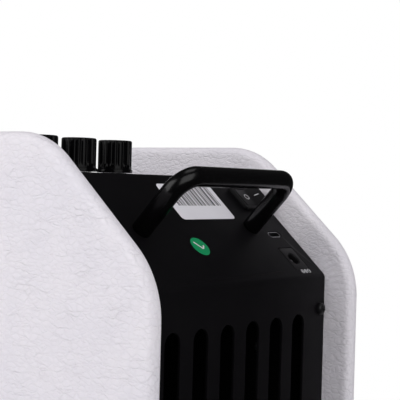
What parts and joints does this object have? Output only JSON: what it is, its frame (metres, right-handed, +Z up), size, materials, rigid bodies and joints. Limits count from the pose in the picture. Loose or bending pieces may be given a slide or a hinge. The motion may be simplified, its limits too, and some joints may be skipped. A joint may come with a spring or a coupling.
{
  "type": "practice amplifier",
  "caption": "Desktop practice amplifier with white leatherette cheeks, a black folded chassis, knobs on top, a carrying handle, a rocker switch and power sockets on a slanted rear panel.",
  "frame": {"origin": "middle of the bounding box at the underside of the rubber feet", "axes": "+Z up, +Y towards the slanted panel with the handle and the vents, -Y towards the speaker grille, +X towards the row of knobs"},
  "size_m": [0.154, 0.16, 0.158],
  "materials": {
    "leatherette": "pebbled white leatherette, low sheen",
    "board": "raw fibreboard",
    "powder_coat": "satin black powder coat on sheet steel",
    "black_plastic": "satin black",
    "gloss_plastic": "glossy black",
    "rubber": "matt black",
    "steel": "plated steel",
    "black_steel": "blackened steel",
    "ferrite": "dull grey ferrite",
    "paper": "black pressed fibre",
    "copper": "copper winding",
    "circuit_board": "green laminate"
  },
  "bodies": {
    "chassis": {"right_cheek_leather": "leatherette", "left_cheek_leather": "leatherette", "right_cheek_board": "board", "left_cheek_board": "board", "front_baffle": "board", "right_side_plate": "powder_coat", "left_side_plate": "powder_coat", "rear_shell": "powder_coat", "base_plate": "powder_coat", "grille": "powder_coat", "carry_handle": "black_plastic", "switch_body": "black_plastic", "dc_socket": "black_plastic", "input_jack": "black_plastic", "phones_jack": "black_plastic", "foot_1": "rubber", "foot_2": "rubber", "foot_3": "rubber", "foot_4": "rubber", "speaker_surround": "rubber", "foot_screw_1": "steel", "foot_screw_2": "steel", "foot_screw_3": "steel", "foot_screw_4": "steel", "cheek_screw_1": "steel", "cheek_screw_2": "steel", "cheek_screw_3": "steel", "cheek_screw_4": "steel", "handle_screw_1": "steel", "handle_screw_2": "steel", "usb_socket": "steel", "gain_pot_body": "steel", "tone_pot_body": "steel", "volume_pot_body": "steel", "gain_pot_nut": "steel", "tone_pot_nut": "steel", "volume_pot_nut": "steel", "speaker_front_plate": "steel", "speaker_yoke": "steel", "shell_screw_1": "black_steel", "shell_screw_2": "black_steel", "shell_screw_3": "black_steel", "shell_screw_4": "black_steel", "speaker_basket": "black_steel", "speaker_magnet": "ferrite", "speaker_spider": "paper", "control_board": "circuit_board", "io_board": "circuit_board", "amplifier_board": "circuit_board"},
    "gain_control": {"gain_knob": "gloss_plastic", "gain_pot_shaft": "steel"},
    "tone_control": {"tone_knob": "gloss_plastic", "tone_pot_shaft": "steel"},
    "volume_control": {"volume_knob": "gloss_plastic", "volume_pot_shaft": "steel"},
    "power_rocker": {"switch_rocker": "black_plastic"},
    "mode_key": {"mode_button": "gloss_plastic"},
    "diaphragm": {"speaker_cone": "paper", "speaker_dust_cap": "paper", "voice_coil": "copper"}
  },
  "joints": [
    {"name": "gain_turn", "type": "hinge", "parent": "chassis", "child": "gain_control", "pos_m": [0.002, -0.00297, 0.143], "axis": [0, 0, -1], "range_deg": [0, 300]},
    {"name": "tone_turn", "type": "hinge", "parent": "chassis", "child": "tone_control", "pos_m": [0.026, -0.00297, 0.143], "axis": [0, 0, -1], "range_deg": [0, 300]},
    {"name": "volume_turn", "type": "hinge", "parent": "chassis", "child": "volume_control", "pos_m": [0.05, -0.00297, 0.143], "axis": [0, 0, -1], "range_deg": [0, 300]},
    {"name": "power_rock", "type": "hinge", "parent": "chassis", "child": "power_rocker", "pos_m": [-0.0577, 0.02971, 0.13257], "axis": [0, -0.7314, 0.682], "range_deg": [0, 24]},
    {"name": "mode_press", "type": "slide", "parent": "chassis", "child": "mode_key", "axis": [0, 0, -1], "range_m": [0, 0.0008], "stiffness_N_per_m": 300, "springref_m": -0.0005},
    {"name": "cone_travel", "type": "slide", "parent": "chassis", "child": "diaphragm", "axis": [0, -1, 0], "range_m": [-0.0015, 0.0015], "stiffness_N_per_m": 1500}
  ]
}
